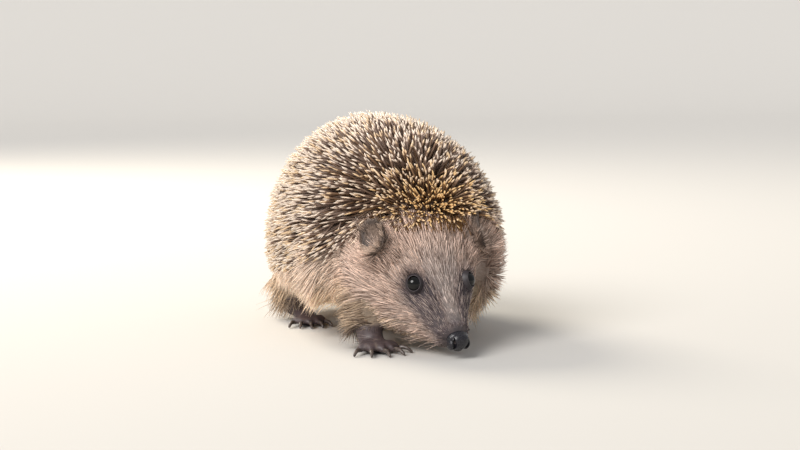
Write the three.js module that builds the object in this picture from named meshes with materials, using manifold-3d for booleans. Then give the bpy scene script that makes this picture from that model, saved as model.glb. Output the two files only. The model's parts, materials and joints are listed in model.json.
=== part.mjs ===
// A young European hedgehog walking with its nose to the ground, life size, out to the tips of its coat.
// The body is one loft from rump to nose, parted by thin cuts into trunk, neck, head and lower jaw.
// Legs, feet, claws, ears, eyes, nose and tail are pieces of their own, set against it.
// Millimetres. The animal faces -Y, its left is +X, up is +Z, and the floor it stands on is z = 0.
import * as THREE from "three";
import { mergeVertices } from "three/addons/utils/BufferGeometryUtils.js";
import Module from "manifold-3d";

const wasm = await Module();
wasm.setup();

// ---- Driving dimensions ----
const GAP = 0.3; // left between pieces that touch

const NOSE_TIP = [8.6, -104, 6];
const HEAD_PITCH = 38; // degrees below the horizontal
const HEAD_YAW = 10; // degrees towards its left

// Rings of the body, from rump to nose: the widest level's centre, then half width, height above and depth below.
// The trunk's centres are in the body's frame, the head's in its own: [side, back from the nose tip, up].
const TRUNK_RINGS = [
  { at: [5, 84, 37], size: [36, 36, 23] },
  { at: [5, 60, 38], size: [39.5, 44.5, 26.5] },
  { at: [4.5, 32, 40], size: [46, 54.5, 29] },
  { at: [4, 4, 41], size: [50.5, 59.3, 30.5] },
  { at: [4, -22, 42], size: [51.5, 56.5, 31] },
  { at: [3.5, -40, 40.5], size: [48, 50, 29] },
  { at: [3.2, -53, 37], size: [42, 41.5, 27] },
];
const HEAD_RINGS = [
  { at: [0, 50, -4], size: [33, 30, 24.5] },
  { at: [0, 40, -3], size: [27, 23.5, 22.5] },
  { at: [0, 30, -2], size: [20, 16.5, 19] },
  { at: [0, 20, -1], size: [12.8, 10, 14.5] },
  { at: [0, 10, -0.8], size: [7.6, 6.2, 8.8] },
  { at: [0, 2.4, -0.3], size: [5.2, 4.3, 4.6] },
];
const BODY_SIDES = 34;
const BODY_STEPS = 28;
const BODY_POWER = { up: 2.05, down: 3 }; // 2 is an ellipse, more is squarer
const RUMP_ROUNDING = 40;
const NECK_CUT = 0.57; // where the cuts cross the body loft, as a share of its length from the rump
const HEAD_CUT = 0.69;

const EYE = { side: 13.3, back: 29, up: 9, radius: 3.3 };
const NOSE = { half: 5, up: 4.1, length: 4.6, back: 2.2 };
const NOSTRIL = { side: 2.9, up: 0.4, radius: 1.1 };
const EAR = { side: 27, back: 50.6, up: 17.2, half: 6.6, halfHeight: 8.4, halfThickness: 1.4, cup: 3 };
const EAR_TURN = { out: 54, lean: 12, tilt: 14 }; // degrees
const JAW = { front: 4.4, back: 25, mouthFront: -2.6, mouthBack: -9 };
const TAIL = { root: [5, 62, 26], tip: [5.5, 79, 9.5], half: 4.6, tipHalf: 1.7 };

const FORE = {
  cutHeight: 10.5,
  palm: { half: 6, up: 3.8, length: 9 },
  toe: { half: 1.9, lengths: [6.5, 9, 10, 9, 6.5], turns: [46, 22, 2, -18, -42], spread: 2.3 },
  claw: { half: 0.85, length: 6 },
};
const HIND = {
  cutHeight: 11,
  palm: { half: 5.4, up: 3.5, length: 24 },
  toe: { half: 1.8, lengths: [5.2, 7.6, 8.4, 7.6, 5.4], turns: [34, 15, 0, -14, -32], spread: 2.2 },
  claw: { half: 0.8, length: 5.2 },
};
// Where each foot's ball stands, which way it points (degrees outwards), and how its leg rises into the body.
const LEGS = {
  fore_right: { foot: FORE, ball: [-20, -73], out: -4, leg: [[-20.3, -69.5, 4.5], [-22, -64, 20], [-21, -52, 38]] },
  fore_left: { foot: FORE, ball: [24, -24], out: 8, leg: [[24.2, -20.5, 4.5], [26, -22, 20], [25, -27, 38]] },
  hind_right: { foot: HIND, ball: [-27, 10], out: 8, leg: [[-29, 28, 5], [-31, 22, 20], [-28, 16, 38]] },
  hind_left: { foot: HIND, ball: [33, 30], out: 10, leg: [[36, 48, 5], [37, 40, 20], [33, 32, 38]] },
};
const CLAW_TIP = 0.28;
const LEG_HALF = { fore: [5.4, 6.6, 10.5], hind: [5, 8, 13] };

const COLOURS = {
  spines: [0x9a8263, 0.8],
  fur: [0x96806a, 0.9],
  muzzle: [0x5c5049, 0.8],
  foot: [0x4a4143, 0.7],
  claw: [0x3b322c, 0.45],
  ear: [0x5e5148, 0.85],
  nose: [0x1d1c20, 0.35],
  eye: [0x08080a, 0.08],
};

// ---- Placing ----
const vec = (p) => new THREE.Vector3(...p);
const HEAD_FRAME = new THREE.Matrix4()
  .makeRotationFromEuler(new THREE.Euler(rad(HEAD_PITCH), 0, rad(HEAD_YAW), "ZXY"))
  .setPosition(vec(NOSE_TIP));
const headPoint = (side, back, up) => vec([side, back, up]).applyMatrix4(HEAD_FRAME);

function rad(degrees) {
  return THREE.MathUtils.degToRad(degrees);
}

// ---- Solids ----
function solid(geometry) {
  const bare = geometry.clone().deleteAttribute("normal").deleteAttribute("uv");
  const merged = mergeVertices(bare, 1e-4);
  return new wasm.Manifold(
    new wasm.Mesh({
      numProp: 3,
      vertProperties: new Float32Array(merged.attributes.position.array),
      triVerts: new Uint32Array(merged.index.array),
    }),
  );
}

const ROUND = { up: 2, down: 2 };

// A closed tube of flattened rings. Each ring is { centre, half, up, down }, and ref says which way its "up" leans.
function loft(rings, sides, { power = ROUND, ref = [0, 0, 1], grow = 0 } = {}) {
  const positions = [];
  const faces = [];
  const place = (p) => positions.push(p.x, p.y, p.z);
  const flatten = (v, n) => Math.sign(v) * Math.abs(v) ** (2 / n);
  rings.forEach((ring, i) => {
    const before = rings[Math.max(i - 1, 0)].centre;
    const after = rings[Math.min(i + 1, rings.length - 1)].centre;
    const along = after.clone().sub(before).normalize();
    const side = vec(ref).cross(along).normalize();
    const up = along.clone().cross(side);
    for (let j = 0; j < sides; j++) {
      const turn = (2 * Math.PI * j) / sides;
      const way = turn < Math.PI ? "up" : "down";
      const across = flatten(Math.cos(turn), power[way]) * (ring.half + grow);
      const tall = flatten(Math.sin(turn), power[way]) * (ring[way] + grow);
      place(ring.centre.clone().addScaledVector(side, across).addScaledVector(up, tall));
    }
  });
  place(rings[0].centre);
  place(rings.at(-1).centre);
  const start = rings.length * sides;
  const last = (rings.length - 1) * sides;
  for (let j = 0; j < sides; j++) {
    const k = (j + 1) % sides;
    faces.push(start, k, j, start + 1, last + j, last + k);
    for (let i = 0; i < last; i += sides) {
      faces.push(i + j, i + k, i + sides + k, i + j, i + sides + k, i + sides + j);
    }
  }
  const geometry = new THREE.BufferGeometry();
  geometry.setAttribute("position", new THREE.Float32BufferAttribute(positions, 3));
  geometry.setIndex(faces);
  return solid(geometry);
}

// Rings along a smooth curve through the given points, with sizes [half, up, down] eased between them.
function ringsAlong(points, sizes, steps, rounding = () => 1) {
  const path = new THREE.CatmullRomCurve3(points, false, "centripetal");
  const size = new THREE.CatmullRomCurve3(sizes.map(vec), false, "centripetal");
  return Array.from({ length: steps + 1 }, (_, i) => {
    const share = i / steps;
    const [half, up, down] = size.getPoint(share).multiplyScalar(rounding(share));
    return { centre: path.getPoint(share), half, up, down };
  });
}

function tube(points, halves, sides, steps, { grow = 0, ref = [0, 1, 0], flat = 1 } = {}) {
  const sizes = halves.map((half) => [half, half * flat, half * flat]);
  return loft(ringsAlong(points, sizes, steps), sides, { ref, grow });
}

function ball(radius, sides, centre) {
  return solid(new THREE.SphereGeometry(radius, sides, Math.round(sides / 2)).translate(...centre));
}

// Everything on the far side of a plane, as a large block.
function halfSpace(point, normal, offset = 0) {
  const REACH = 400;
  const turn = new THREE.Quaternion().setFromUnitVectors(vec([0, 0, 1]), normal.clone().normalize());
  const block = new THREE.BoxGeometry(REACH, REACH, REACH)
    .translate(0, 0, REACH / 2 + offset)
    .applyQuaternion(turn)
    .translate(...point);
  return solid(block);
}

const FLOOR = halfSpace(vec([0, 0, 0]), vec([0, 0, -1]));

// ---- Body ----
const bodyPoints = [
  ...TRUNK_RINGS.map(({ at }) => vec(at)),
  ...HEAD_RINGS.map(({ at }) => headPoint(...at)),
];
const bodySizes = [...TRUNK_RINGS, ...HEAD_RINGS].map(({ size }) => size);
const bodyPath = new THREE.CatmullRomCurve3(bodyPoints, false, "centripetal");

function body(grow = 0) {
  const size = new THREE.CatmullRomCurve3(bodySizes.map(vec), false, "centripetal");
  const rings = [];
  for (let i = 0; i <= BODY_STEPS; i++) {
    // Rings lie closer together at the rump, where it rounds off.
    const share = (i / BODY_STEPS) ** 1.3;
    const centre = bodyPath.getPoint(share);
    const fromRump = Math.min(centre.distanceTo(bodyPoints[0]) / RUMP_ROUNDING, 1);
    const round = Math.max(Math.sqrt(1 - (1 - fromRump) ** 2), 0.06);
    const [half, up, down] = size.getPoint(share).multiplyScalar(round);
    rings.push({ centre, half, up, down });
  }
  return loft(rings, BODY_SIDES, { power: BODY_POWER, grow });
}

function cutAt(share) {
  return { point: bodyPath.getPoint(share), normal: bodyPath.getTangent(share) };
}

// ---- Features of the head ----
const sides = { left: 1, right: -1 };
const eyeCentre = (s) => headPoint(s * EYE.side, EYE.back, EYE.up);

function nose(grow = 0) {
  const shape = new THREE.SphereGeometry(1, 14, 9)
    .scale(NOSE.half + grow, NOSE.length + grow, NOSE.up + grow)
    .translate(0, NOSE.back, 0.2)
    .applyMatrix4(HEAD_FRAME);
  return solid(shape);
}

function nostril(s) {
  const at = headPoint(s * NOSTRIL.side, NOSE.back - NOSE.length * 0.7, NOSTRIL.up);
  return ball(NOSTRIL.radius, 8, at);
}

// A round dish: a flattened ball, pushed back in the middle.
function ear(s) {
  const shape = new THREE.SphereGeometry(1, 16, 8).rotateX(Math.PI / 2);
  const position = shape.attributes.position;
  for (let i = 0; i < position.count; i++) {
    const [x, y, z] = [position.getX(i), position.getY(i), position.getZ(i)];
    const dish = EAR.cup * (1 - x * x - y * y);
    position.setXYZ(i, x * EAR.half, dish - z * EAR.halfThickness, y * EAR.halfHeight);
  }
  shape.rotateX(rad(-EAR_TURN.lean));
  shape.rotateY(rad(s * EAR_TURN.tilt));
  shape.rotateZ(rad(s * EAR_TURN.out + HEAD_YAW));
  return solid(shape.translate(...headPoint(s * EAR.side, EAR.back, EAR.up)));
}

// The block under the mouth line, in front of the cheeks.
function underMouth(offset = 0) {
  const REACH = 60;
  const run = JAW.back - JAW.front;
  const slope = Math.atan2(JAW.mouthFront - JAW.mouthBack, run);
  const block = new THREE.BoxGeometry(REACH, run + REACH - offset, REACH)
    .translate(0, (run - REACH) / 2 - offset / 2, -REACH / 2 - offset)
    .rotateX(-slope)
    .translate(0, JAW.front, JAW.mouthFront)
    .applyMatrix4(HEAD_FRAME);
  return solid(block);
}

// ---- Legs and feet ----
function footFrame({ ball: [x, y], out }) {
  return new THREE.Matrix4().makeRotationZ(rad(Math.sign(x) * out)).setPosition(x, y, 0);
}

// The toes' roots, knuckles and tips, numbered from the inside, in the foot's own frame.
function toePath(foot, s, i) {
  const { half, lengths, turns, spread } = foot.toe;
  const turn = rad(s * turns[i]);
  const root = vec([s * (i - 2) * spread, -1, half * 1.5]);
  const reach = (share, height) =>
    root.clone().add(vec([-Math.sin(turn) * lengths[i] * share, -Math.cos(turn) * lengths[i] * share, 0])).setZ(height);
  return [root, reach(0.55, half * 1.75), reach(1, half * 0.85)];
}

function clawPath(foot, s, i) {
  const [, knuckle, tip] = toePath(foot, s, i);
  const ahead = tip.clone().sub(knuckle).setZ(0).normalize();
  const { length, half } = foot.claw;
  return [
    tip.clone().addScaledVector(ahead, -0.8).setZ(tip.z + 0.5),
    tip.clone().addScaledVector(ahead, length * 0.55).setZ(tip.z + 0.9),
    tip.clone().addScaledVector(ahead, length).setZ(half * 0.45 + 0.25),
  ];
}

function toe(limb, i, grow = 0) {
  const { half } = limb.foot.toe;
  const points = toePath(limb.foot, Math.sign(limb.ball[0]), i).map((p) => p.applyMatrix4(footFrame(limb)));
  const halves = [half, half * 1.1, half, half * 0.5];
  return tube(points, halves, 6, 4, { grow, ref: [0, 0, 1] });
}

function claw(limb, i) {
  const frame = footFrame(limb);
  const { half } = limb.foot.claw;
  const points = clawPath(limb.foot, Math.sign(limb.ball[0]), i).map((p) => p.applyMatrix4(frame));
  return tube(points, [half, half * 0.8, CLAW_TIP], 6, 3, { ref: [0, 0, 1] }).subtract(toe(limb, i, GAP));
}

function foot(limb) {
  const frame = footFrame(limb);
  const { palm } = limb.foot;
  const sole = [0, 0.5, 1].map((share) => vec([0, -2.5 + palm.length * share, palm.up * 0.8]).applyMatrix4(frame));
  const soleSizes = [0.62, 1, 0.6].map((share) => [palm.half * share, palm.up, palm.up]);
  const pad = loft(ringsAlong(sole, soleSizes, 4), 10);
  return limb.foot.toe.lengths.reduce((made, _, i) => made.add(toe(limb, i)), pad);
}

function wholeLeg(name, limb) {
  const halves = LEG_HALF[name.startsWith("fore") ? "fore" : "hind"];
  return tube(limb.leg.map(vec), halves, 12, 5).add(foot(limb)).subtract(FLOOR);
}

// ---- Assembly ----
const hedgehog = new THREE.Group();

function material(slot) {
  const [color, roughness] = COLOURS[slot];
  return new THREE.MeshStandardMaterial({ name: slot, color, roughness, metalness: 0 });
}

function addPiece(name, shape, slot) {
  const { vertProperties, triVerts } = shape.getMesh();
  const geometry = new THREE.BufferGeometry();
  geometry.setAttribute("position", new THREE.BufferAttribute(vertProperties, 3));
  geometry.setIndex(new THREE.BufferAttribute(triVerts, 1));
  geometry.computeVertexNormals();
  const mesh = new THREE.Mesh(geometry, material(slot));
  mesh.name = name;
  hedgehog.add(mesh);
}

const whole = body();
const grown = body(GAP);
const neckCut = cutAt(NECK_CUT);
const headCut = cutAt(HEAD_CUT);
const beyond = ({ point, normal }, offset) => halfSpace(point, normal, offset);

const trunk = whole.subtract(beyond(neckCut, -GAP / 2));
const neck = whole.intersect(beyond(neckCut, GAP / 2)).subtract(beyond(headCut, -GAP / 2));
let head = whole.intersect(beyond(headCut, GAP / 2)).subtract(underMouth());
const jaw = whole.intersect(underMouth(GAP)).subtract(nose(GAP));
head = head.subtract(nose(GAP));
for (const s of Object.values(sides)) head = head.subtract(ball(EYE.radius + GAP, 14, eyeCentre(s)));

addPiece("trunk", trunk, "spines");
addPiece("neck", neck, "fur");
addPiece("head", head, "fur");
addPiece("lower_jaw", jaw, "muzzle");
addPiece("nose", nose().subtract(nostril(1)).subtract(nostril(-1)), "nose");
addPiece("tail", tube([vec(TAIL.root), vec(TAIL.tip)], [TAIL.half, TAIL.tipHalf], 12, 4).subtract(grown), "fur");

for (const [side, s] of Object.entries(sides)) {
  addPiece(`eye_${side}`, ball(EYE.radius, 14, eyeCentre(s)), "eye");
  addPiece(`ear_${side}`, ear(s).subtract(grown), "ear");
}

for (const [name, limb] of Object.entries(LEGS)) {
  const whole = wholeLeg(name, limb);
  const ankle = (offset) => halfSpace(vec([0, 0, limb.foot.cutHeight]), vec([0, 0, 1]), offset);
  addPiece(`${name}_leg`, whole.intersect(ankle(GAP / 2)).subtract(grown), "fur");
  addPiece(`${name}_foot`, whole.subtract(ankle(-GAP / 2)).subtract(grown), "foot");
  limb.foot.toe.lengths.forEach((_, i) => addPiece(`${name}_claw_${i + 1}`, claw(limb, i), "claw"));
}

// The origin is the middle of the box round the animal, on the floor.
const box = new THREE.Box3().setFromObject(hedgehog);
const middle = box.getCenter(new THREE.Vector3());
hedgehog.position.set(-middle.x, -middle.y, -box.min.z);

export default hedgehog;
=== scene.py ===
# %% [markdown]
# # A young hedgehog, dressed in Blender
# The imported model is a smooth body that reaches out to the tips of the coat. This lesson gives it what a real
# hedgehog has on top of its shape: one skin without seams, some six thousand banded spines over the back, soft fur on
# the face, flanks and legs, wet eyes with lids, a grained nose and horny claws. Everything is in metres, in the
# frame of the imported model: the animal faces -Y, its left is +X, and the floor is z = 0.

# %% The frame and the tools
import json
import math

import bpy
import numpy as np
from mathutils import Matrix, Vector
from mathutils.bvhtree import BVHTree

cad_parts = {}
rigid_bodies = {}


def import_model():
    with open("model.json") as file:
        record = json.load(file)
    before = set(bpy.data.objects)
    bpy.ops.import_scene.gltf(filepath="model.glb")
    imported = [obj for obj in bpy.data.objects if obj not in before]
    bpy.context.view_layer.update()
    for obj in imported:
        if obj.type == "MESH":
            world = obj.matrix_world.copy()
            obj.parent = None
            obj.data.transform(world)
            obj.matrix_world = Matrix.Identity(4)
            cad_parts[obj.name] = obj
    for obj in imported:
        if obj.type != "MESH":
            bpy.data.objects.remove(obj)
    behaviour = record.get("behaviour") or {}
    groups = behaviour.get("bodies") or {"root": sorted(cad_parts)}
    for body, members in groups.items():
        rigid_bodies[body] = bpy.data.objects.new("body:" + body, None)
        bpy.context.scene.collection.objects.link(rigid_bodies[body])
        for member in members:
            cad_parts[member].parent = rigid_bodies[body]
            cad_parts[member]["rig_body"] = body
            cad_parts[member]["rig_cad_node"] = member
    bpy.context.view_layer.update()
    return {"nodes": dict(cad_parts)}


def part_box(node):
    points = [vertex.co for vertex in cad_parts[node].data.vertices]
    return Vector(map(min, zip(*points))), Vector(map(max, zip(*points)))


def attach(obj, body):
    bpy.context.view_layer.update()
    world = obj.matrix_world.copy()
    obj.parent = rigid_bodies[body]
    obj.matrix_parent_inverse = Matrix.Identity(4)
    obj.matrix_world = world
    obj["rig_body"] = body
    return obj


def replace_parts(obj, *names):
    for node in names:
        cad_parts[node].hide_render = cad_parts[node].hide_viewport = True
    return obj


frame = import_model()
nodes = frame["nodes"]
bpy.ops.object.select_all(action="DESELECT")
MM = 0.001

# %% [markdown]
# ## Where things are on the animal
# Most of the coat follows two simple guides. The head has a frame of its own, tilted down and turned a little to its
# left, with the nose tip as its origin: how far a point lies to the side, back from the nose, and up. The back is
# guided by the line where the spines end and the fur begins, which runs from the crown behind the ears down along
# the flanks. Working with such guides, and not with painted pictures, keeps skin and coat in step.

# %% The head's own frame
HEAD_PITCH = math.radians(38)
HEAD_YAW = math.radians(10)
HEAD_TURN = np.array(Matrix.Rotation(HEAD_YAW, 3, "Z") @ Matrix.Rotation(HEAD_PITCH, 3, "X"))
nose_box = np.array(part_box("nose")) / MM
NOSE_TIP = nose_box.mean(0) - HEAD_TURN @ np.array([0, 2.2, 0.2])


def in_head(points):
    """Side, back and up of points given in mm."""
    return (points - NOSE_TIP) @ HEAD_TURN


def from_head(side, back, up):
    return NOSE_TIP + HEAD_TURN @ np.array([side, back, up])


def eased(values, low, high):
    """0 below low, 1 above high, with a soft step between."""
    share = np.clip((values - low) / (high - low), 0, 1)
    return share * share * (3 - 2 * share)


print("nose tip:", NOSE_TIP.round(1))

# %% The edge of the spines
SPINE_EDGE_Y = [-69, -67, -62, -57, -52, -45, -35, -19, 10, 60, 96]
SPINE_EDGE_Z = [66, 59.5, 58, 58, 53.5, 45, 39, 33.5, 29, 25, 18]
eye_centres = {side: np.array(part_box(f"eye_{side}")).mean(0) / MM for side in ("left", "right")}
ear_centres = {side: np.array(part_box(f"ear_{side}")).mean(0) / MM for side in ("left", "right")}
ear_feet = {side: ear_centres[side] + HEAD_TURN @ np.array([-2.5 * sign, -2, -7]) for side, sign in (("left", 1), ("right", -1))}
EAR_HALF = np.array([6.6, 8.4])
EAR_OUT, EAR_TILT, EAR_LEAN = math.radians(54), math.radians(14), math.radians(-12)
ear_turns = {}
for side, sign in (("left", 1), ("right", -1)):
    out_turned = Matrix.Rotation(HEAD_YAW + sign * EAR_OUT, 3, "Z") @ Matrix.Rotation(sign * EAR_TILT, 3, "Y")
    ear_turns[side] = np.array(out_turned @ Matrix.Rotation(EAR_LEAN, 3, "X"))
EYE_RADIUS = 3.45
FRINGE_POINT = np.array([4, -62, 64])


def above_spine_edge(points):
    """Height in mm over the line where the spines end."""
    return points[:, 2] - np.interp(points[:, 1], SPINE_EDGE_Y, SPINE_EDGE_Z)


def at_ear(points):
    """Place at the nearer ear: outwards as a share of its half width, mm in front of it, and up as a share of its half height."""
    places = []
    for side, sign in (("left", 1), ("right", -1)):
        local = (points - ear_centres[side]) @ ear_turns[side]
        places.append(local * [sign / EAR_HALF[0], -1, 1 / EAR_HALF[1]])
    left = points[:, 0] > NOSE_TIP[0]
    return np.where(left[:, None], places[0], places[1])


def in_front(points, low, high):
    """1 on the forehead side of the fringe of the crown, 0 behind it."""
    from_fringe = points - FRINGE_POINT
    mid = 1 - eased(np.abs(in_head(points)[:, 0]), 15, 22)
    return eased(-from_fringe[:, 1] - 0.7 * from_fringe[:, 2], low, high) * mid


def golden_share(points):
    """1 in the middle of the golden tuft on the crown, falling to 0 round it."""
    return np.exp(-(np.linalg.norm((points - FRINGE_POINT) / [21, 14, 10], axis=1) ** 2))


def distance_to(points, places):
    return np.min([np.linalg.norm(points - place, axis=1) for place in places], axis=0)


print("eyes:", {side: at.round(1) for side, at in eye_centres.items()})

# %% [markdown]
# ## The skin
# The flesh is packed as a dozen closed pieces with thin cuts between them. A real animal has one skin, so copies of
# the pieces are swollen by a hair, joined, and remeshed into a single closed surface, which heals the cuts. The
# surface is then drawn inwards, by the depth of the coat that grows there: deep under the spines, almost nothing on
# the nose and feet. A vertex group holds that depth, and a Displace modifier moves the skin by it.

# %% One closed surface from the pieces of flesh
LIMBS = ["fore_left", "fore_right", "hind_left", "hind_right"]
FEET = [f"{limb}_foot" for limb in LIMBS]
LEGS = [f"{limb}_leg" for limb in LIMBS]
EARS = ["ear_left", "ear_right"]
FLESH = ["trunk", "neck", "head", "lower_jaw", "tail", *EARS, *LEGS, *FEET]
UNDER_NOSE = "nose"


def copy_of(node, name):
    """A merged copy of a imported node, alone and selected."""
    bpy.ops.object.select_all(action="DESELECT")
    piece = nodes[node].copy()
    piece.data = nodes[node].data.copy()
    piece.parent = None
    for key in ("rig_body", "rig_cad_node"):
        if key in piece:
            del piece[key]
    piece.name = name
    bpy.context.scene.collection.objects.link(piece)
    bpy.context.view_layer.objects.active = piece
    piece.select_set(True)
    bpy.ops.object.mode_set(mode="EDIT")
    bpy.ops.mesh.select_all(action="SELECT")
    bpy.ops.mesh.remove_doubles(threshold=0.00002)
    bpy.ops.object.mode_set(mode="OBJECT")
    return piece


def finish_modifier(piece, kind, **settings):
    """Adds one modifier and applies it."""
    bpy.context.view_layer.objects.active = piece
    modifier = piece.modifiers.new(kind.title(), kind)
    for key, value in settings.items():
        setattr(modifier, key, value)
    bpy.ops.object.modifier_apply(modifier=modifier.name)


flesh = [copy_of(node, f"flesh_{node}") for node in [*FLESH, UNDER_NOSE]]
bpy.ops.object.select_all(action="DESELECT")
for piece in flesh:
    piece.select_set(True)
bpy.context.view_layer.objects.active = flesh[0]
bpy.ops.object.join()
skin = bpy.context.view_layer.objects.active
skin.name = "skin"
finish_modifier(skin, "DISPLACE", strength=0.3 * MM, mid_level=0)
finish_modifier(skin, "REMESH", mode="VOXEL", voxel_size=1.0 * MM)
finish_modifier(skin, "SMOOTH", factor=0.5, iterations=6)
print("skin faces:", len(skin.data.polygons))

# %% Which part each point of the skin belongs to


def points_of(piece):
    flat = np.empty(len(piece.data.vertices) * 3)
    piece.data.vertices.foreach_get("co", flat)
    return flat.reshape(-1, 3) / MM


def normals_of(piece):
    flat = np.empty(len(piece.data.vertices) * 3)
    piece.data.vertices.foreach_get("normal", flat)
    return flat.reshape(-1, 3)


def nearness(points, names, reach):
    """1 on these nodes, falling to 0 at reach mm from them."""
    near = np.full(len(points), 1e9)
    for name in names:
        low, high = np.array(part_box(name)) / MM
        picked = np.nonzero(np.all((points > low - reach) & (points < high + reach), axis=1))[0]
        mesh = nodes[name].data
        tree = BVHTree.FromPolygons([v.co / MM for v in mesh.vertices], [tuple(p.vertices) for p in mesh.polygons])
        for i in picked:
            near[i] = min(near[i], tree.find_nearest(points[i])[3])
    return 1 - eased(near, 0.5, reach)


outer = points_of(skin)
on_foot = nearness(outer, FEET, 2.5)
on_leg = nearness(outer, LEGS, 4.0)
on_ear = nearness(outer, EARS, 2.0)
on_tail = nearness(outer, ["tail"], 3.0)
print("points on feet, legs, ears:", [int((part > 0.5).sum()) for part in (on_foot, on_leg, on_ear)])

# %% How deep the coat is
SPINE_DEPTH = 9.5
FLANK_DEPTH = 4.5


def mouth_line(head):
    """Distance in mm from the slit of the mouth, in the head's frame."""
    along = np.interp(head[:, 1], [4.4, 25], [-2.6, -9])
    beyond = np.maximum(head[:, 1] - 25, 0) + np.maximum(4.4 - head[:, 1], 0)
    return np.hypot(head[:, 2] - along, beyond)


def coat_depth(points):
    head = in_head(points)
    depth = np.interp(head[:, 1], [4.5, 7, 14, 30, 45, 62], [2.4, 0.5, 0.8, 1.5, 2.6, FLANK_DEPTH])
    spiny = eased(above_spine_edge(points) - 11 * in_front(points, -20, -2), -5, 9)
    depth = depth * (1 - spiny) + SPINE_DEPTH * spiny
    round_eye = np.exp(-((distance_to(points, eye_centres.values()) / 5.2) ** 2))
    depth *= 1 - 0.9 * round_eye
    depth += 0.7 * np.exp(-((mouth_line(head) / 0.9) ** 2)) * (head[:, 1] < 26)
    for part, least in ((on_leg, 1.2), (on_tail, 0.8), (on_ear, 0.25), (on_foot, 0.05)):
        depth = depth * (1 - part) + least * part
    return depth


depth = coat_depth(outer)
group = skin.vertex_groups.new(name="coat_depth")
for i, share in enumerate(depth / SPINE_DEPTH):
    group.add([i], float(min(share, 1)), "REPLACE")
finish_modifier(skin, "DISPLACE", strength=-SPINE_DEPTH * MM, mid_level=0, vertex_group="coat_depth")
finish_modifier(skin, "SMOOTH", factor=0.5, iterations=3)
skin.vertex_groups.clear()
bpy.ops.object.select_all(action="DESELECT")
skin.select_set(True)
bpy.ops.object.shade_smooth()
print("coat depth in mm:", depth.min().round(2), depth.max().round(2))

# %% [markdown]
# ## A map of the skin
# Every tuft needs a place on a flat map of the skin, so that its colour can later be stored there. The skin is cut
# into patches that face roughly one way, and each is laid flat. The smart projection does both at once.

# %% Unfolding the skin
bpy.ops.object.mode_set(mode="EDIT")
bpy.ops.mesh.select_all(action="SELECT")
bpy.ops.uv.smart_project(angle_limit=math.radians(66), island_margin=0.003)
bpy.ops.object.mode_set(mode="OBJECT")
skin.data.uv_layers[0].name = "OFBake"
skin.data.calc_loop_triangles()
triangle_count = len(skin.data.loop_triangles)
corners = np.empty(triangle_count * 3, np.int64)
skin.data.loop_triangles.foreach_get("vertices", corners)
corners = corners.reshape(-1, 3)
loops = np.empty(triangle_count * 3, np.int64)
skin.data.loop_triangles.foreach_get("loops", loops)
flat_map = np.empty(len(skin.data.loops) * 2)
skin.data.uv_layers["OFBake"].data.foreach_get("uv", flat_map)
corner_maps = flat_map.reshape(-1, 2)[loops].reshape(-1, 3, 2)
inner = points_of(skin)
skin_normals = normals_of(skin)
print("skin triangles:", triangle_count)

# %% [markdown]
# ## Colour
# Skin and coat take their colour from one function of place. The face is a warm grey beige, darker from the eyes to
# the nose and lighter along the bridge, the chin and the lower fringe are straw coloured, the crown in front of the
# spines is golden brown, and bare skin on feet and ears is a dark purplish grey. Some light and shade is painted in as
# well: the straw along the foot of the flanks is partly painted light, each ear has painted shade inside its rim and
# in its crease and a painted highlight on the rim, and the skin under the coat is darkened as painted shade.

# %% Colours by place


def linear(red, green, blue):
    """A colour as a painter's 0 to 255 values, made linear."""
    share = np.array([red, green, blue]) / 255
    return np.where(share < 0.04045, share / 12.92, ((share + 0.055) / 1.055) ** 2.4)


FACE = linear(224, 200, 187)
BRIDGE = linear(188, 175, 170)
MASK = linear(81, 73, 81)
CHEEK = linear(222, 200, 188)
STRAW = linear(250, 228, 196)
FLANK = linear(240, 222, 208)
CROWN = linear(162, 122, 76)
BARE = linear(80, 68, 70)
EAR = linear(124, 106, 94)
EAR_PAINTED_SHADE = linear(64, 51, 44)
EAR_RIM_PAINTED_LIGHT = linear(140, 122, 110)
EAR_TUFT = linear(180, 160, 146)


def blend(colour, other, share):
    share = np.asarray(share)[:, None]
    return colour * (1 - share) + other * share


def low_flank(points, back):
    """1 along the foot of the flanks, 0 on the head and above."""
    return (1 - eased(points[:, 2], 16, 34)) * eased(back, 40, 60)


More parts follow.
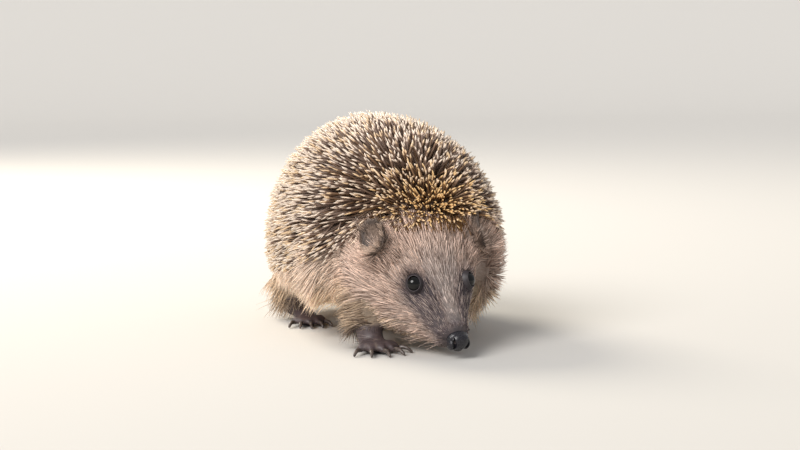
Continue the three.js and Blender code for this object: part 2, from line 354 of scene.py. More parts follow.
def coat_colour(points, foot, ear, leg):
    head = in_head(points)
    side, back, up = np.abs(head[:, 0]), head[:, 1], head[:, 2]
    colour = np.tile(FACE, (len(points), 1))
    colour = blend(colour, FLANK, eased(back, 45, 70))
    colour = blend(colour, CHEEK, eased(side, 12, 26) * eased(-up, -8, 6) * (1 - eased(back, 45, 60)))
    bridge_half = np.interp(back, [4, 8, 15, 23, 26, 30, 36], [2.6, 3.4, 3.4, 4.1, 5.9, 7.8, 9])
    mask_foot = np.interp(back, [4, 10, 19, 23.5, 27, 32], [-5.5, -3.9, -1.3, 0, 3.7, 8])
    mask = eased(side - bridge_half, -2.2, 2) * eased(up - mask_foot, -3, 2.5) * (1 - eased(back, 24, 34)) * 0.92
    colour = blend(colour, BRIDGE, (1 - eased(side - bridge_half, -1, 1)) * eased(up, -2, 4) * (1 - eased(back, 26, 46)))
    round_eye = np.exp(-((distance_to(points, eye_centres.values()) / 4.9) ** 2))
    muzzle = 1 - eased(back, 5, 17)
    colour = blend(colour, MASK, np.clip(np.maximum(mask, muzzle * 0.85) + round_eye * 0.9, 0, 0.96))
    colour = blend(colour, STRAW, eased(-up, 7, 13) * eased(back, 4, 12) * (1 - eased(back, 40, 60)) * 0.8)
    # Straw on the foot of the flanks: pale hair, and partly painted light where the flank lies in shade.
    colour = blend(colour, STRAW, low_flank(points, back) * 0.7)
    edge = above_spine_edge(points)
    colour = blend(colour, CROWN, eased(edge, -7, -1) * (1 - eased(side, 16, 24)) * eased(up, 14, 22))
    colour = blend(colour, linear(120, 100, 88), leg * 0.6)
    # Ear: painted shade in a ring inside the rim and in a low crease, a painted highlight on the rim, pale tuft at its
    # foot.
    on_face = at_ear(points)[:, [0, 2]]
    reach = np.linalg.norm(on_face, axis=1)
    painted_crease_shade = np.exp(-(np.linalg.norm(on_face - [0.3, -0.45], axis=1) / 0.34) ** 2)
    ear_colour = blend(np.tile(EAR, (len(points), 1)), EAR_PAINTED_SHADE, np.maximum(np.exp(-(((reach - 0.7) / 0.2) ** 2)), painted_crease_shade))
    ear_colour = blend(ear_colour, EAR_RIM_PAINTED_LIGHT, eased(reach, 0.9, 1.02))
    ear_colour = blend(ear_colour, EAR_TUFT, 1 - eased(distance_to(points, ear_feet.values()), 2, 4))
    colour = colour * (1 - ear[:, None]) + ear_colour * ear[:, None]
    return blend(colour, BARE, foot)


def set_colours(mesh, name, colours):
    layer = mesh.color_attributes.new(name, "FLOAT_COLOR", "POINT")
    layer.data.foreach_set("color", np.column_stack([colours, np.ones(len(colours))]).ravel())


def set_numbers(mesh, name, numbers):
    mesh.attributes.new(name, "FLOAT", "POINT").data.foreach_set("value", np.asarray(numbers, np.float32))


UNDER_SPINES = linear(108, 90, 78)
under = coat_colour(outer, on_foot, on_ear, on_leg)
# Under fur the skin is at half strength: painted shade from the coat; bare feet and ears keep full colour.
under *= 0.5 + 0.5 * np.maximum(on_foot, on_ear)[:, None]
under = blend(under, UNDER_SPINES, eased(above_spine_edge(outer) + 6 * in_front(outer, -1, 3), -1, 4))
set_colours(skin.data, "tone", under)
set_numbers(skin.data, "bare", np.maximum(on_foot, on_ear * 0.7))
print("mean skin colour:", under.mean(0).round(3))

# %% [markdown]
# ## Growing a coat
# A spine or a lock is the same simple thing: a tapered rod on a bent line. Thousands of them are built at once as
# arrays of points and joined into a few meshes. Each keeps three numbers for its material: the colour of the place
# it grows from, how far along the rod a point is, and a chance number of its own. Its corner of the skin's map is a
# small patch at the root.

# %% Choosing roots
rng = np.random.default_rng(8)


def scatter(count, weight):
    """Roots over the skin: triangle picks, in proportion to area times the weight at the triangle's middle."""
    a, b, c = (inner[corners[:, k]] for k in range(3))
    area = np.linalg.norm(np.cross(b - a, c - a), axis=1) / 2
    chance = area * weight
    picks = rng.choice(triangle_count, count, p=chance / chance.sum())
    share = rng.random((count, 2))
    over = share.sum(1) > 1
    share[over] = 1 - share[over]
    thirds = np.column_stack([1 - share.sum(1), share])
    return picks, thirds


def at_roots(values, roots):
    """Values given at the skin's points, read at the roots."""
    picks, thirds = roots
    return np.einsum("nk,nk...->n...", thirds, values[corners[picks]])


def maps_at(roots):
    picks, thirds = roots
    return np.einsum("nk,nkd->nd", thirds, corner_maps[picks])


def unit(vectors):
    return vectors / np.maximum(np.linalg.norm(vectors, axis=1, keepdims=True), 1e-9)


def along_skin(direction, normals):
    """The part of a direction that lies along the skin."""
    return unit(direction - normals * (direction * normals).sum(1, keepdims=True))


def spread(roots, gaps):
    """Keeps roots that are at least their own gap, in mm, from those kept before."""
    places = at_roots(inner, roots)
    cell = float(gaps.max())
    cells = {}
    kept = []
    for i, (place, gap) in enumerate(zip(places.tolist(), gaps.tolist())):
        x, y, z = (int(math.floor(v / cell)) for v in place)
        near = (cells.get((x + i_x, y + i_y, z + i_z)) for i_x in (-1, 0, 1) for i_y in (-1, 0, 1) for i_z in (-1, 0, 1))
        if any(math.dist(place, other) < gap for group in near if group for other in group):
            continue
        cells.setdefault((x, y, z), []).append(place)
        kept.append(i)
    return roots[0][kept], roots[1][kept]


print("coat helpers ready")

# %% Building rods
PATCH = 0.003


def grow(name, places, lines, rings, radii, colours, chance, maps, material, flat=1.0):
    """Joins tapered rods into one mesh. lines is (count, stations, 3) in mm, from root to tip, which is a point."""
    count, stations, _ = lines.shape
    tangent = np.gradient(lines, axis=1)
    tangent /= np.maximum(np.linalg.norm(tangent, axis=2, keepdims=True), 1e-9)
    side = np.cross(tangent, places[:, None, :])
    side /= np.maximum(np.linalg.norm(side, axis=2, keepdims=True), 1e-9)
    up = np.cross(side, tangent)
    turns = 2 * np.pi * np.arange(rings) / rings + np.pi / 2
    body = lines[:, :-1, None, :] + radii[:, :-1, None, None] * (
        side[:, :-1, None, :] * np.cos(turns)[None, None, :, None] + flat * up[:, :-1, None, :] * np.sin(turns)[None, None, :, None]
    )
    points = np.concatenate([body.reshape(count, -1, 3), lines[:, -1:, :]], axis=1)
    per = points.shape[1]
    faces = []
    for station in range(stations - 2):
        for k in range(rings):
            a, b = station * rings + k, station * rings + (k + 1) % rings
            faces.append([a, a + rings, b + rings, b])
    quads = np.array(faces)
    top = (stations - 2) * rings
    tips = np.array([[top + k, per - 1, top + (k + 1) % rings] for k in range(rings)])
    start = (np.arange(count) * per)[:, None, None]
    quad_corners = (quads[None] + start).reshape(count, -1)
    tip_corners = (tips[None] + start).reshape(count, -1)
    base_corners = np.arange(rings)[None] + (np.arange(count) * per)[:, None]
    all_corners = np.concatenate([quad_corners, tip_corners, base_corners], axis=1)
    sizes = np.tile([4] * len(quads) + [3] * len(tips) + [rings], count)
    mesh = bpy.data.meshes.new(name)
    mesh.vertices.add(count * per)
    mesh.vertices.foreach_set("co", (points * MM).astype(np.float32).ravel())
    mesh.loops.add(all_corners.size)
    mesh.loops.foreach_set("vertex_index", all_corners.ravel())
    mesh.polygons.add(len(sizes))
    mesh.polygons.foreach_set("loop_start", np.concatenate([[0], np.cumsum(sizes)[:-1]]))
    mesh.polygons.foreach_set("use_smooth", np.ones(len(sizes), bool))
    mesh.update(calc_edges=True)
    share = np.append(np.repeat(np.linspace(0, 1, stations)[:-1], rings), 1)
    across = np.append(np.tile(np.arange(rings) / rings, stations - 1), 0.5)
    patch = np.column_stack([across - 0.5, share - 0.5]) * PATCH
    layer = mesh.uv_layers.new(name="OFBake")
    layer.data.foreach_set("uv", (maps[:, None] + patch[None]).reshape(-1, 2)[all_corners.ravel()].ravel())
    set_colours(mesh, "tone", np.repeat(colours, per, axis=0))
    set_numbers(mesh, "along", np.tile(share, count))
    set_numbers(mesh, "chance", np.repeat(chance, per))
    piece = bpy.data.objects.new(name, mesh)
    bpy.context.scene.collection.objects.link(piece)
    mesh.materials.append(material)
    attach(piece, "root")
    print(name, "rods:", count, "triangles:", int((sizes - 2).sum()))
    return piece


# %% [markdown]
# ## Finishes of the coat
# A spine is hollow keratin with a satin shine: painted shade at its very root, paler just above, a dark brown band,
# and a cream tip. The band sits at a slightly different height on each spine. A hair is darker at its root, where its
# neighbours shade it, and no two are quite alike. Both are read from the numbers that each rod carries.

# %% Helpers for node materials


def new_material(name, rough):
    material = bpy.data.materials.new(name)
    material.use_nodes = True
    tree = material.node_tree
    shader = tree.nodes["Principled BSDF"]
    shader.inputs["Roughness"].default_value = rough
    return material, tree, shader


def add_node(tree, kind, **settings):
    node = tree.nodes.new(kind)
    for key, value in settings.items():
        setattr(node, key, value)
    return node


def attribute(tree, name):
    return add_node(tree, "ShaderNodeAttribute", attribute_name=name)


def number(tree, operation, first, second):
    """A Math node of two sockets or numbers."""
    node = add_node(tree, "ShaderNodeMath", operation=operation)
    for socket, value in zip(node.inputs, (first, second)):
        if isinstance(value, (int, float)):
            socket.default_value = value
        else:
            tree.links.new(value, socket)
    return node.outputs[0]


def ramp(tree, value, stops):
    """A ColorRamp of (place, colour) stops."""
    node = add_node(tree, "ShaderNodeValToRGB")
    stretch = node.color_ramp
    while len(stretch.elements) < len(stops):
        stretch.elements.new(0.5)
    for element, (place, colour) in zip(stretch.elements, stops):
        element.position = place
        element.color = (*colour, 1)
    tree.links.new(value, node.inputs["Fac"])
    return node.outputs["Color"]


def multiplied(tree, first, second):
    node = add_node(tree, "ShaderNodeMix", data_type="RGBA", blend_type="MULTIPLY")
    node.inputs["Factor"].default_value = 1
    tree.links.new(first, node.inputs[6])
    tree.links.new(second, node.inputs[7])
    return node.outputs[2]


print("material helpers ready")

# %% Spine and hair materials
spine_finish, tree, shader = new_material("banded_spine", 0.38)
shift = number(tree, "MULTIPLY", number(tree, "SUBTRACT", attribute(tree, "chance").outputs["Fac"], 0.5), 0.13)
height = number(tree, "ADD", attribute(tree, "along").outputs["Fac"], shift)
# Painted shade at the very root, paler above it, then a dark brown band and a cream tip over the last third.
bands = ramp(
    tree,
    height,
    [
        (0.0, linear(112, 92, 79)),
        (0.2, linear(152, 128, 108)),
        (0.32, linear(110, 90, 78)),
        (0.6, linear(126, 104, 91)),
        (0.67, linear(222, 202, 184)),
        (1.0, linear(236, 221, 205)),
    ],
)
tree.links.new(multiplied(tree, bands, attribute(tree, "tone").outputs["Color"]), shader.inputs["Base Color"])
shader.inputs["Specular IOR Level"].default_value = 0.45

hair_finish, tree, shader = new_material("soft_hair", 0.55)
shade = ramp(tree, attribute(tree, "along").outputs["Fac"], [(0.0, (0.4, 0.37, 0.35)), (0.35, (0.85, 0.83, 0.81)), (1.0, (1.15, 1.13, 1.11))])
each = ramp(tree, attribute(tree, "chance").outputs["Fac"], [(0.0, (0.3, 0.26, 0.24)), (0.24, (0.64, 0.59, 0.56)), (0.6, (1.02, 1.01, 1.0)), (1.0, (1.6, 1.58, 1.54))])
toned = multiplied(tree, attribute(tree, "tone").outputs["Color"], shade)
tree.links.new(multiplied(tree, toned, each), shader.inputs["Base Color"])
shader.inputs["Specular IOR Level"].default_value = 0.35
print("coat finishes:", spine_finish.name, hair_finish.name)

# %% [markdown]
# ## The spines
# Spines grow a little over a millimetre apart, and closer still in the golden tuft. They fan out from the crown, lie
# back along the body at forty degrees or so, and never quite agree with their neighbours, which gives the back its
# crossed, bristling look. On the crown they stand almost upright.

# %% Placing the spines
CROWN_POINT = np.array([8, -56, 74])
SPINE_GAP = 1.27
triangle_outer = outer[corners].mean(1)
spine_weight = (above_spine_edge(triangle_outer) > 0.5) * 1.0
for part in (on_ear, on_leg, on_foot, on_tail):
    spine_weight *= part[corners].mean(1) < 0.3
roots = scatter(130000, spine_weight * (1 + golden_share(triangle_outer)))
roots = spread(roots, SPINE_GAP * (1 - 0.36 * golden_share(at_roots(outer, roots))))
root_points = at_roots(inner, roots)
root_normals = unit(at_roots(skin_normals, roots))
root_outer = at_roots(outer, roots)
print("spines:", len(root_points))

# %% Which way the spines point


def wander(points, scale, seed):
    """Smooth chance numbers between about -1 and 1, from a few waves."""
    waves = np.random.default_rng(seed)
    total = np.zeros(len(points))
    for _ in range(6):
        way = waves.normal(size=3)
        total += np.sin(points @ way / np.linalg.norm(way) * 2 * np.pi / (scale * waves.uniform(0.7, 1.4)) + waves.uniform(0, 6.3))
    return total / 2.4


def lean(flow, normals, lift, swing):
    """Directions lifted from the skin and swung about its normal, both in degrees."""
    lift, swing = np.radians(lift)[:, None], np.radians(swing)[:, None]
    across = np.cross(normals, flow)
    level = flow * np.cos(swing) + across * np.sin(swing)
    return unit(level * np.cos(lift) + normals * np.sin(lift))


def hang_down(points):
    """Forwards and down over the forehead, spreading a little to the sides."""
    return np.column_stack([(points[:, 0] - FRINGE_POINT[0]) / 50, np.full(len(points), -0.75), np.full(len(points), -0.65)])


count = len(root_points)
away = root_outer - CROWN_POINT
far = np.linalg.norm(away, axis=1)
ahead = in_front(root_outer, 2, 8)
front = eased(-away[:, 1] - 0.7 * away[:, 2], -6, 6)
fanned = unit(away) + np.array([0, 0.3, -0.1]) * (1 - front)[:, None]
flow = along_skin(fanned * (1 - ahead)[:, None] + hang_down(root_outer) * ahead[:, None], root_normals)
behind_lift = 34 + 30 * np.exp(-((far / 26) ** 2))
front_lift = np.clip(80 - 1.6 * far, 24, 80)
lift = behind_lift * (1 - front) + front_lift * front
crownness = np.exp(-((far / 25) ** 2))
lift += rng.normal(0, 1, count) * (7 + 9 * crownness) + 4 * wander(root_points, 14, 3)
lift = lift * (1 - ahead) + rng.normal(24, 7, count) * ahead
swing = rng.normal(0, 1, count) * (12 + 46 * crownness) + 13 * wander(root_points, 11, 4)
pointing = lean(flow, root_normals, lift, swing)
print("mean lift:", lift.mean().round(1))

# %% [markdown]
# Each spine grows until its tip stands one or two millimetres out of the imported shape, so that the tips, and not
# the skin, draw the outline. Where that would take too long a spine, it stops at its greatest length.

# %% How long the spines are
LENGTHS = np.arange(7.5, 19.1, 0.75)
outline = BVHTree.FromPolygons([Vector(point) for point in outer], corners.tolist())


def height_over(point):
    """Distance in mm of a point over the outline of the coat, negative inside."""
    near, normal, _, _ = outline.find_nearest(Vector(point))
    return (Vector(point) - near).dot(normal)


tip_height = rng.uniform(0.3, 2.2, count)
length = np.full(count, LENGTHS[-1])
for i in range(count):
    for reach in LENGTHS:
        if height_over(root_points[i] + pointing[i] * reach) > tip_height[i]:
            length[i] = reach
            break
length *= rng.uniform(0.92, 1.04, count)
length = np.where(ahead > 0.5, np.clip(length, 8, 11), length)
tips = root_points + pointing * length[:, None]
off_ears = distance_to(tips, ear_centres.values()) > EAR_HALF[1] - 0.4
print("mean length:", length.mean().round(1), "kept off the ears:", int((~off_ears).sum()))

# %% Making the spines
STATIONS = np.array([0, 0.2, 0.74, 0.9, 1])
THICKNESS = np.array([0.26, 0.42, 0.45, 0.33, 0])


def on_line(roots_at, direction, length, stations, bend):
    """Points along bent lines: bend is added at the tip, and grows with the square of the way."""
    share = stations[None, :, None]
    return roots_at[:, None] + direction[:, None] * length[:, None, None] * share + bend[:, None] * share**2


OCHRE = linear(246, 222, 172)
sunk = root_points - root_normals * 0.6
lines = on_line(sunk, pointing, length, STATIONS, root_normals * -0.8)
golden = golden_share(root_outer)
crown_share = np.exp(-((far / 38) ** 2))
radii = THICKNESS[None] * rng.uniform(0.85, 1.15, (count, 1)) * (1 + 0.28 * crown_share - 0.4 * golden)[:, None]
spine_chance = rng.random(count) + 1.2 * golden - 0.15 * crown_share + 0.8 * eased(far, 40, 70)
ochre = np.where(rng.random(count) < 0.25, 0.6, 0.0)
spine_tone = blend(np.ones((count, 3)), OCHRE, np.clip(1.2 * golden + ochre, 0, 1))
# Spines round the crown are made up to a quarter lighter as painted light; golden tuft spines a tenth lighter still.
spine_tone *= rng.uniform(0.78, 1.04, (count, 1)) * (1 + 0.26 * crown_share + 0.1 * golden)[:, None]
maps = maps_at(roots)
for part in range(2):
    mine = np.nonzero(off_ears)[0][part::2]
    grow(
            f"spines_{part + 1}", root_normals[mine], lines[mine], 4, radii[mine],
            spine_tone[mine], spine_chance[mine], maps[mine], spine_finish,
        )

# %% [markdown]
# ## The fur
# Fur lies flat and short on the face, parts round the eyes, and flows back from the nose to the ears and crown. On
# the cheeks and flanks it is longer and falls backwards and down, ending in a fringe over the legs. Length, lift and
# direction are functions of place, as colour is, and each lock is a flat three-sided blade with a slight bend.

# %% Lie and length of the fur


def hair_flow(points, normals):
    head = in_head(points)
    from_nose = unit(points - NOSE_TIP + np.array([0, 0, 2]))
    droop = eased(-head[:, 2], 0, 10)[:, None] * np.array([0, 0, -0.55])
    backwards = np.array([0, 1, 0]) + (1 - eased(points[:, 2], 20, 60))[:, None] * np.array([0, -0.1, -0.55])
    on_head = (1 - eased(head[:, 1], 48, 70))[:, None]
    return along_skin((from_nose + droop) * on_head + backwards * (1 - on_head), normals)


def hair_length(points):
    head = in_head(points)
    length = np.interp(head[:, 1], [0, 6, 16, 30, 42, 56, 75], [1.0, 2.2, 4.6, 7.5, 9, 12.5, 14])
    length *= 1 - 0.5 * eased(above_spine_edge(points), -10, -2) * eased(head[:, 2], 12, 20)
    length += 3.0 * eased(-head[:, 2], 4, 12) * eased(head[:, 1], 8, 20)
    length += 3.0 * (1 - eased(points[:, 2], 18, 34)) * eased(head[:, 1], 45, 65)
    return length * (1 - 0.45 * np.exp(-((distance_to(points, eye_centres.values()) / 7) ** 2)))


triangle_head = in_head(triangle_outer)
mid_forehead = in_front(triangle_outer, -1, 3)
fur_area = 1 - eased(above_spine_edge(triangle_outer) + 5 * mid_forehead, -0.5, 3)
part_of = {"foot": on_foot, "leg": on_leg, "ear": on_ear, "tail": on_tail}
triangle_part = {name: part[corners].mean(1) for name, part in part_of.items()}
print("fur covers triangles:", int((fur_area > 0.5).sum()))

# %% Growing the fur
HAIR_STATIONS = np.array([0, 0.4, 0.75, 1])
HAIR_TAPER = np.array([0.8, 1.0, 0.75, 0])
SHORT_STATIONS = np.array([0, 0.55, 1])
SHORT_TAPER = np.array([0.8, 1.0, 0])
HAIRS_PER_PIECE = 12000
FLOOR_GAP = 0.6
LOCK_TONE = 0.13
PALE_STRAND = linear(174, 160, 154)


def keep_off_eyes(lines):
    """True where a lock stays clear of both eyes."""
    clear = np.ones(len(lines), bool)
    for centre in eye_centres.values():
        clear &= np.linalg.norm(lines - centre, axis=2).min(1) > EYE_RADIUS + 0.25
    return clear


def grow_fur(
    name, count, weight, size=1.0, width=0.17, lift=10.0, shades=(0, 1), flow=None, colour=None, short=False, pale=0.0
):
    stations, taper = (SHORT_STATIONS, SHORT_TAPER) if short else (HAIR_STATIONS, HAIR_TAPER)
    roots = scatter(count, weight)
    places, normals = at_roots(inner, roots), unit(at_roots(skin_normals, roots))
    surface = at_roots(outer, roots)
    # Locks on the foot of the flanks are drawn lighter: painted light.
    painted_low_light = 0.25 * low_flank(surface, in_head(surface)[:, 1])
    chance = np.clip(rng.uniform(*shades, count) + LOCK_TONE * wander(places, 1.9, 21) + painted_low_light, 0, 1)
    way = hair_flow(surface, normals) if flow is None else along_skin(flow(surface), normals)
    swing = rng.normal(0, 5, count) + 7 * wander(places, 9, 9)
    raise_by = np.clip(rng.normal(lift, 3.5, count), 2, 80)
    direction = lean(way, normals, raise_by, swing)
    shares = {part: at_roots(values, roots) for part, values in part_of.items()}
    length = hair_length(surface) * size * rng.uniform(0.75, 1.1, count) * (1 - 0.6 * shares["tail"])
    bend = -normals * (0.1 * length + length**2 / 110)[:, None] + np.array([0, 0, -0.1]) * length[:, None]
    sunk = places - normals * 0.25
    lines = on_line(sunk, direction, length, stations, bend)
    drop = np.maximum(sunk[:, 2] - lines[:, -1, 2], 1e-6)
    room = np.clip((sunk[:, 2] - FLOOR_GAP) / drop, 0.1, 1)
    lines = sunk[:, None] + (lines - sunk[:, None]) * room[:, None, None]
    blocked = ~keep_off_eyes(lines)
    lines[blocked] = sunk[blocked, None] + (lines[blocked] - sunk[blocked, None]) * 0.4
    blurred = surface + rng.normal(0, 0.8, (count, 3))
    colours = coat_colour(blurred, shares["foot"], shares["ear"], shares["leg"])
    colours = blend(colours, PALE_STRAND, 0.6 * (rng.random(count) < pale))
    if colour is not None:
        colours = np.tile(colour, (count, 1))
    clear = np.nonzero(keep_off_eyes(lines))[0]
    radii = width * taper[None] * rng.uniform(0.75, 1.2, (count, 1))
    maps = maps_at(roots)
    pieces = []
    for part, first in enumerate(range(0, len(clear), HAIRS_PER_PIECE)):
        mine = clear[first : first + HAIRS_PER_PIECE]
        piece = grow(
            f"{name}_{part + 1}", normals[mine], lines[mine], 3, radii[mine],
            colours[mine], chance[mine], maps[mine], hair_finish, flat=0.6,
        )
        pieces.append(piece)
    return pieces


def nearer_ear(points, places):
    """For each point, the one of two places that is nearer."""
    both = np.array(list(places.values()))
    return both[np.linalg.norm(points[:, None] - both[None], axis=2).argmin(1)]


def ear_flow(points):
    """From the foot of the nearer ear to its rim."""
    return unit(points - nearer_ear(points, ear_feet))


def tuft_flow(points):
    """Outwards and up across the nearer ear."""
    flows = [ear_turns[side] @ np.array([sign * 0.8, 0, 1.0]) for side, sign in (("left", 1), ("right", -1))]
    left = points[:, 0] > NOSE_TIP[0]
    return np.where(left[:, None], *[np.tile(flow, (len(points), 1)) for flow in flows])


plain = fur_area * (1 - triangle_part["foot"]) * (1 - triangle_part["ear"])
face_weight = plain * (1 - eased(triangle_head[:, 1], 40, 52))
body_weight = plain * eased(triangle_head[:, 1], 40, 52) * (0.35 + 0.65 * eased(triangle_outer[:, 2], 12, 24))
snout_share = 1 - eased(triangle_head[:, 1], 10, 30)
grow_fur("face_fur", 30000, face_weight * (0.6 + 1.2 * snout_share), size=0.9, width=0.115, lift=8, shades=(0, 0.8), short=True)
grow_fur("face_guard", 12500, face_weight * (0.8 + 0.4 * snout_share), size=1.1, width=0.17, lift=12, shades=(0.05, 1), pale=0.06)
# The short body fur keeps to the darker tones: painted shade among the guard hairs.
grow_fur("body_fur", 28000, body_weight, size=0.85, width=0.14, lift=8, shades=(0, 0.55), short=True)
grow_fur("body_guard", 19000, body_weight, size=1.1, width=0.18, lift=15, shades=(0.25, 1))
grow_fur(
    "leg_fur", 4200, plain * triangle_part["leg"], size=0.3, width=0.1, flow=lambda p: np.tile([0, 0.2, -1.0], (len(p), 1)), short=True
)
grow_fur("ear_fur", 4200, triangle_part["ear"], size=0.17, width=0.065, lift=22, shades=(0.05, 0.65), flow=ear_flow, short=True)
outward, forward, upward = at_ear(triangle_outer).T
ear_face = triangle_part["ear"] * (forward > 0.2)
tuft_bed = ear_face * ((upward < -0.55) | (outward < -0.82))
grow_fur("ear_tuft", 900, tuft_bed, size=0.4, width=0.11, lift=24, shades=(0.2, 1), flow=tuft_flow, colour=EAR_TUFT)
near_ear = np.exp(-((distance_to(triangle_outer, ear_centres.values()) / 13) ** 4))
ear_lock_bed = plain * near_ear * ((upward < -0.9) | (outward < -1)) * (forward > -6.5)
grow_fur("ear_lock", 2000, ear_lock_bed, size=0.95, width=0.13, lift=30, shades=(0.1, 1))
near_eye = np.exp(-(((distance_to(triangle_outer, eye_centres.values()) - 4.7) / 0.9) ** 2))
grow_fur("eye_fur", 900, plain * near_eye, size=0.36, width=0.08, lift=34, shades=(0.1, 0.8), short=True)

# %% The golden fringe of the crown, and the whiskers


edge_band = eased(above_spine_edge(triangle_outer), -4, -1) * mid_forehead
# Fringe hairs fill the gaps between the front spines in darker tones: painted shade in those gaps.
grow_fur("crown_fringe", 600, edge_band, size=1.25, width=0.2, lift=20, shades=(0, 0.7), flow=hang_down, colour=CROWN)
snout_side = plain * eased(np.abs(triangle_head[:, 0]), 4, 6) * eased(triangle_head[:, 1], 5, 8) * (1 - eased(triangle_head[:, 1], 24, 30))
grow_fur("snout_strands", 1300, snout_side, size=1.1, width=0.09, lift=16, shades=(0.5, 1), colour=PALE_STRAND)
whisker_bed = snout_side * (triangle_head[:, 2] < 3) * (1 - eased(triangle_head[:, 1], 14, 18))
grow_fur("whiskers", 30, whisker_bed, size=3.6, width=0.06, lift=30, shades=(0.6, 0.9), colour=FACE)
print("fur grown")

# %% [markdown]
# ## Finish of the skin
# Where the coat is dense the skin hardly shows, so it only needs the coat's colour, at half strength as painted shade,
# and a fine, hair-like grain. Bare skin on the feet and ears is smoother, darker and slightly moist, with small
# creases.

# %% Skin material
skin_finish, tree, shader = new_material("skin", 0.7)
place = add_node(tree, "ShaderNodeTexCoord").outputs["Object"]
mottle = add_node(tree, "ShaderNodeTexNoise")
mottle.inputs["Scale"].default_value = 900
mottle.inputs["Detail"].default_value = 4
tree.links.new(place, mottle.inputs["Vector"])
light_and_dark = ramp(tree, mottle.outputs["Fac"], [(0.3, (0.72, 0.7, 0.68)), (0.7, (1.12, 1.1, 1.08))])
tree.links.new(multiplied(tree, attribute(tree, "tone").outputs["Color"], light_and_dark), shader.inputs["Base Color"])
creases = add_node(tree, "ShaderNodeTexVoronoi", feature="DISTANCE_TO_EDGE")
creases.inputs["Scale"].default_value = 1500
tree.links.new(place, creases.inputs["Vector"])
bump = add_node(tree, "ShaderNodeBump")
bump.inputs["Strength"].default_value = 0.35
bump.inputs["Distance"].default_value = 0.0002
tree.links.new(creases.outputs["Distance"], bump.inputs["Height"])
tree.links.new(bump.outputs["Normal"], shader.inputs["Normal"])
gloss = ramp(tree, attribute(tree, "bare").outputs["Fac"], [(0.0, (0.8, 0.8, 0.8)), (1.0, (0.48, 0.48, 0.48))])
tree.links.new(gloss, shader.inputs["Roughness"])
skin.data.materials.clear()
skin.data.materials.append(skin_finish)
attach(skin, "root")
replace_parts(skin, *FLESH)
print("skin finished")

# %% [markdown]
# ## Eyes
# A hedgehog's eye is a black, wet bead. It is a smooth, glossy sphere, nearly black brown. A ring of dark, bare lid
# closes round it.

# %% Eye and lid finishes
eye_finish, tree, shader = new_material("wet_eye", 0.04)
shader.inputs["Base Color"].default_value = (0.002, 0.0018, 0.0016, 1)
shader.inputs["IOR"].default_value = 1.42
lid_finish, tree, shader = new_material("eyelid", 0.5)
lid_grain = add_node(tree, "ShaderNodeTexNoise")
lid_grain.inputs["Scale"].default_value = 2400
tree.links.new(add_node(tree, "ShaderNodeTexCoord").outputs["Object"], lid_grain.inputs["Vector"])
grain = ramp(tree, lid_grain.outputs["Fac"], [(0.3, (0.7, 0.7, 0.7)), (0.7, (1.25, 1.22, 1.2))])
lid_tones = ramp(
    tree,
    attribute(tree, "outwards").outputs["Fac"],
    [
        (0.0, linear(26, 22, 24)),
        (0.05, linear(100, 92, 97)),
        (0.11, linear(88, 80, 85)),
        (0.2, linear(36, 30, 33)),
        (0.5, linear(46, 40, 44)),
        (1.0, linear(60, 53, 57)),
    ],
)
tree.links.new(multiplied(tree, lid_tones, grain), shader.inputs["Base Color"])
print("eye finishes ready")

# %% Making the eyes and lids


def settle(piece):
    """Puts a finished piece's place into its mesh."""
    bpy.ops.object.select_all(action="DESELECT")
    piece.select_set(True)
    bpy.context.view_layer.objects.active = piece
    bpy.ops.object.transform_apply(location=True, rotation=True, scale=True)
    bpy.ops.object.shade_smooth()
    return piece


def facing(direction):
    """A rotation that turns +Z to a direction."""
    return Vector(direction).to_track_quat("Z", "Y").to_euler()


